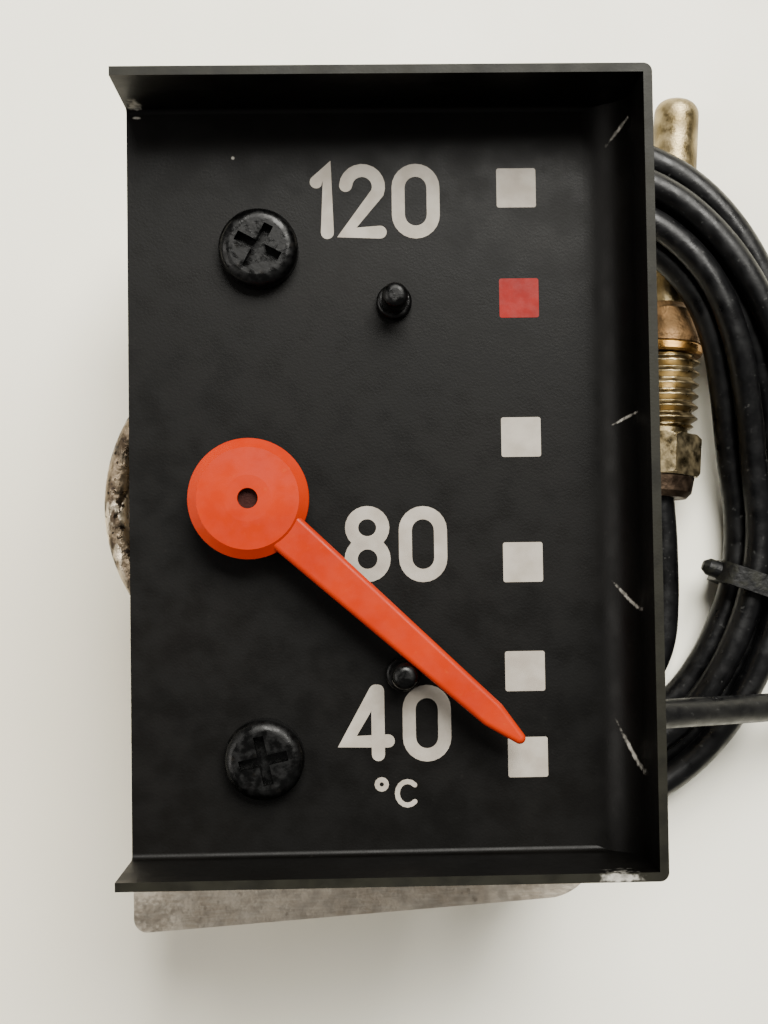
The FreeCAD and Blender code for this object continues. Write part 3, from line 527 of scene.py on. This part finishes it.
def rounded_square(side, corner, height):
    """A thin plate with rounded corners, centred on the origin."""
    bm = bmesh.new()
    verts = []
    for quarter in range(4):
        for step in range(5):
            a = math.radians(90 * quarter + 22.5 * step)
            cx = math.copysign(side / 2 - corner, math.cos(math.radians(90 * quarter + 45)))
            cy = math.copysign(side / 2 - corner, math.sin(math.radians(90 * quarter + 45)))
            verts.append(bm.verts.new((cx + corner * math.cos(a), cy + corner * math.sin(a), 0)))
    face = bm.faces.new(verts)
    top = bmesh.ops.extrude_face_region(bm, geom=[face])["geom"]
    bmesh.ops.translate(bm, verts=[v for v in top if isinstance(v, bmesh.types.BMVert)], vec=(0, 0, height))
    bmesh.ops.recalc_face_normals(bm, faces=bm.faces)
    mesh = bpy.data.meshes.new("mark")
    bm.to_mesh(mesh)
    bm.free()
    return mesh


def arc(cx, cy, rx, ry, start, end, steps=12):
    angles = [math.radians(start + (end - start) * i / steps) for i in range(steps + 1)]
    return [(cx + rx * math.cos(a), cy + ry * math.sin(a)) for a in angles]


def digit_paths(digit):
    """A digit's strokes as lines of (x, y) about its own centre, each with whether it is closed."""
    top = (FIGURE_TALL - STROKE) / 2
    side = (FIGURE_WIDE - STROKE) / 2
    if digit == "0":
        straight = top - side
        ends = arc(0, straight, side, side, 0, 180) + arc(0, -straight, side, side, 180, 360)
        return [(ends, True)]
    if digit == "8":
        upper, lower = top * 0.48, top * 0.52
        rings = [arc(0, top - upper, 1.1, upper, 0, 345, 23), arc(0, lower - top, 1.16, lower, 0, 345, 23)]
        return [(ring, True) for ring in rings]
    if digit == "1":
        return [([(0.25, -top), (0.25, top), (-0.5, top - 0.8)], False)]
    if digit == "2":
        bow = arc(0, top - 1.17, 1.17, 1.17, 175, -22)
        return [(bow + [(-1.12, -top), (1.25, -top)], False)]
    return [([(0.6, top), (-1.42, -1.28), (1.45, -1.28)], False), ([(0.75, top), (0.75, -top)], False)]


def ribbon(bm, path, closed, width, lift):
    """Lays a stroke of even width along a line, with round ends if it is open."""
    points = [Vector((x, y, lift)) for x, y in path]
    count = len(points)
    rows = []
    for i, point in enumerate(points):
        before = points[i - 1] if closed or i else None
        after = points[(i + 1) % count] if closed or i < count - 1 else None
        ways = [(q - p).normalized() for p, q in ((before, point), (point, after)) if p and q]
        sides = [Vector((-w.y, w.x, 0)) for w in ways]
        middle = sum(sides, Vector()).normalized()
        reach = width / 2 / max(0.6, middle.dot(sides[0]))
        rows.append((bm.verts.new(point + middle * reach), bm.verts.new(point - middle * reach)))
    for i in range(count if closed else count - 1):
        (a, b), (c, d) = rows[i], rows[(i + 1) % count]
        bm.faces.new((a, b, d, c))
    for end, inner in ((0, 1), (count - 1, count - 2)):
        if not closed:
            away = (points[end] - points[inner]).normalized()
            across = Vector((-away.y, away.x, 0))
            turns = [math.radians(22.5 * k) for k in range(1, 8)]
            rim = [points[end] + (across * math.cos(t) + away * math.sin(t)) * width / 2 for t in turns]
            left, right = rows[end] if end else reversed(rows[end])
            bm.faces.new([left] + [bm.verts.new(p) for p in rim] + [right])


def print_mesh(name, strokes, width):
    """Thin raised ink from (centre, path, closed) strokes, in millimetres on the dial."""
    bm = bmesh.new()
    for i, ((cx, cy), path, closed) in enumerate(strokes):
        ribbon(bm, [(cx + x, cy + y) for x, y in path], closed, width, LAYER * i)
    flat = list(bm.faces)
    grown = bmesh.ops.extrude_face_region(bm, geom=flat)["geom"]
    bmesh.ops.translate(bm, verts=[v for v in grown if isinstance(v, bmesh.types.BMVert)], vec=(0, 0, INK))
    bmesh.ops.recalc_face_normals(bm, faces=bm.faces)
    mesh = bpy.data.meshes.new(name)
    bm.to_mesh(mesh)
    bm.free()
    for v in mesh.vertices:
        v.co = at(v.co.x, v.co.y, DIAL - INK_SUNK + v.co.z)
    return mesh


def make_printing():
    cream = print_ink("cream_print", (0.27, 0.24, 0.2), (0.34, 0.31, 0.265))
    red = print_ink("red_print", (0.15, 0.003, 0.0015), (0.2, 0.005, 0.0025))
    for i, (x, y) in enumerate(MARKS):
        mesh = rounded_square(MARK, MARK_CORNER, INK)
        mesh.transform(Matrix.Scale(0.001, 4))
        mesh.transform(Matrix.Translation(at(x, y, DIAL - INK_SUNK)))
        printed(mesh, f"scale_mark_{i}", red if i == RED_MARK else cream)
    for digits in FIGURES:
        strokes = [(centre, path, closed) for d, centre in digits for path, closed in digit_paths(d)]
        name = "figure_" + "".join(d for d, centre in digits)
        printed(print_mesh(name, strokes, STROKE), name, cream)
    ring = arc(0, 0, 0.33, 0.33, 0, 330, 11)
    bow = arc(0, 0, 0.72, 0.82, 45, 315)
    unit = [((-0.55, -21.5), ring, True), ((1.25, -22.15), bow, False)]
    printed(print_mesh("figure_unit", unit, SMALL_STROKE), "figure_unit", cream)


make_printing()

# ---------------------------------------------------------------- union nut
PROBE_AT = (24.77, 1.06, 3.86)
PROBE_LEAN, PROBE_DIP = 4.34, 3.1
NUT_TURN = 40.0
FLATS = 6.0
HEX_LOW, HEX_HIGH = 0.15, 3.8
THREAD_LOW, THREAD_HIGH = 4.4, 10.85
THREAD_RADIUS, PITCH, THREAD_DEPTH = 3.0, 1.0, 0.56
NECK, BORE = 2.2, 1.56
NUT_COLUMNS = 96
THREAD_RINGS, RING_STEP = 130, 0.05


def hex_radius(z, degrees):
    """The hexagon's reach, cut back by a cone at both ends."""
    flat = FLATS / 2 / math.cos(math.radians((degrees % 60) - 30))
    corner = FLATS / math.sqrt(3) - 0.3
    return min(flat, corner + min(z - HEX_LOW, HEX_HIGH - z))


def thread_radius(z, degrees):
    """A right-hand thread that fades out into the relief and is chamfered at its end."""
    phase = ((z / PITCH - degrees / 360) % 1.0) * 2
    wave = 1 - abs(phase - 1)
    crest = min(1.0, max(0.0, (wave - 0.1) / 0.78))
    radius = THREAD_RADIUS - THREAD_DEPTH * (1 - crest)
    limit = min(NECK + 0.15 + (z - THREAD_LOW) * 1.3, THREAD_RADIUS - 0.45 + (THREAD_HIGH - z) * 1.2)
    return min(radius, limit)


def nut_radius(z, degrees):
    if z <= HEX_HIGH:
        return hex_radius(z, degrees)
    if z < THREAD_LOW:
        return NECK
    return thread_radius(z, degrees)


def make_nut():
    """One skin of rings: up the bore, over the back face, along the outside and over the front."""
    bevel = [HEX_LOW + 0.06 * i for i in range(6)]
    hexagon = bevel + [1.2, 2.0, 2.8] + [HEX_HIGH - b + HEX_LOW for b in reversed(bevel)]
    thread = [THREAD_LOW + RING_STEP * i for i in range(THREAD_RINGS)]
    relief = [(HEX_HIGH + 0.02, NECK), (4.36, NECK)]
    outside = [(z, None) for z in hexagon] + relief + [(z, None) for z in thread]
    rings = [(HEX_LOW, BORE)] + outside + [(THREAD_HIGH, BORE)]
    verts = []
    for z, fixed in rings:
        for c in range(NUT_COLUMNS):
            degrees = 360 / NUT_COLUMNS * c
            radius = nut_radius(z, degrees) if fixed is None else fixed
            a = math.radians(degrees)
            verts.append((radius * math.cos(a) / 1000, radius * math.sin(a) / 1000, z / 1000))
    faces = []
    for i in range(len(rings)):
        here, ahead = i * NUT_COLUMNS, (i + 1) % len(rings) * NUT_COLUMNS
        for c in range(NUT_COLUMNS):
            d = (c + 1) % NUT_COLUMNS
            faces.append((here + c, here + d, ahead + d, ahead + c))
    mesh = bpy.data.meshes.new("union_nut_thread")
    mesh.from_pydata(verts, [], faces)
    lean = Euler((0, 0, math.radians(-PROBE_LEAN))).to_matrix()
    dip = Euler((math.radians(-90 - PROBE_DIP), 0, 0)).to_matrix()
    spin = Euler((0, 0, math.radians(NUT_TURN))).to_matrix()
    mesh.transform(Matrix.Translation(at(*PROBE_AT)) @ (lean @ dip @ spin).to_4x4())
    obj = printed(mesh, "union_nut_thread", nut_brass)
    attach(obj, "nut")
    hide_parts("union_nut")


make_nut()


# ---------------------------------------------------------------- stage
# Metres and watts: place, size, power and tint
FLOOR_HALF = 0.9
WORLD_TINT, WORLD_STRENGTH = (1, 0.98, 0.95, 1), 0.24
KEY_LIGHT = ("key", (0.14, 0.42, 0.6), 0.45, 17.5, (1, 0.98, 0.92))
FILL_LIGHT = ("fill", (-0.5, 0.0, 0.45), 0.4, 2.5, (1, 0.96, 0.9))


def pale_table():
    """Warm white laminate with soft uneven tone and a painted soft shadow on its left."""
    f = Finish("floor", 0.55)
    tone = f.mix(f.ease(f.noise(60, 3), 0.3, 0.7), (0.9, 0.87, 0.73), (0.95, 0.925, 0.8))
    # Painted shadow: a large soft darker patch on the left of the table, standing in for cast shade.
    painted_shadow = f.math("MULTIPLY", f.patch((-52, -22, 0), (42, 36, 60), 0.8), 0.55)
    f.colour(f.mix(painted_shadow, tone, (0.62, 0.54, 0.4)))
    f.rough(f.ease(f.noise(12, 4), 0.3, 0.7, 0.45, 0.62))
    f.bump(f.noise(0.7, 3), 0.01, 0.4)
    return f.material


def make_stage():
    half = FLOOR_HALF
    corners = [(-half, -half, 0), (half, -half, 0), (half, half, 0), (-half, half, 0)]
    mesh = bpy.data.meshes.new("floor")
    mesh.from_pydata(corners, [], [(0, 1, 2, 3)])
    mesh.materials.append(pale_table())
    floor = bpy.data.objects.new("floor", mesh)
    bpy.context.scene.collection.objects.link(floor)
    floor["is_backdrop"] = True
    world = bpy.data.worlds.new("world")
    world.use_nodes = True
    backdrop = world.node_tree.nodes["Background"]
    backdrop.inputs[0].default_value = WORLD_TINT
    backdrop.inputs[1].default_value = WORLD_STRENGTH
    bpy.context.scene.world = world
    soft_light(*KEY_LIGHT)
    soft_light(*FILL_LIGHT)


def soft_light(name, place, size, power, tint):
    light = bpy.data.lights.new(name, "AREA")
    light.size = size
    light.energy = power
    light.color = tint
    lamp = bpy.data.objects.new(name, light)
    lamp.location = place
    lamp.rotation_euler = Vector(place).to_track_quat("Z", "Y").to_euler()
    bpy.context.scene.collection.objects.link(lamp)


make_stage()


def visual_bounds():
    """The box of every shown piece's final mesh."""
    depsgraph = bpy.context.evaluated_depsgraph_get()
    places = []
    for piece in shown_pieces():
        final = piece.evaluated_get(depsgraph)
        mesh = final.to_mesh()
        places += [final.matrix_world @ v.co for v in mesh.vertices]
        final.to_mesh_clear()
    return [[pick(v[i] for v in places) for i in range(3)] for pick in (min, max)]


bpy.context.view_layer.update()
{"cad": [list(v) for v in cad_box], "visual": visual_bounds()}
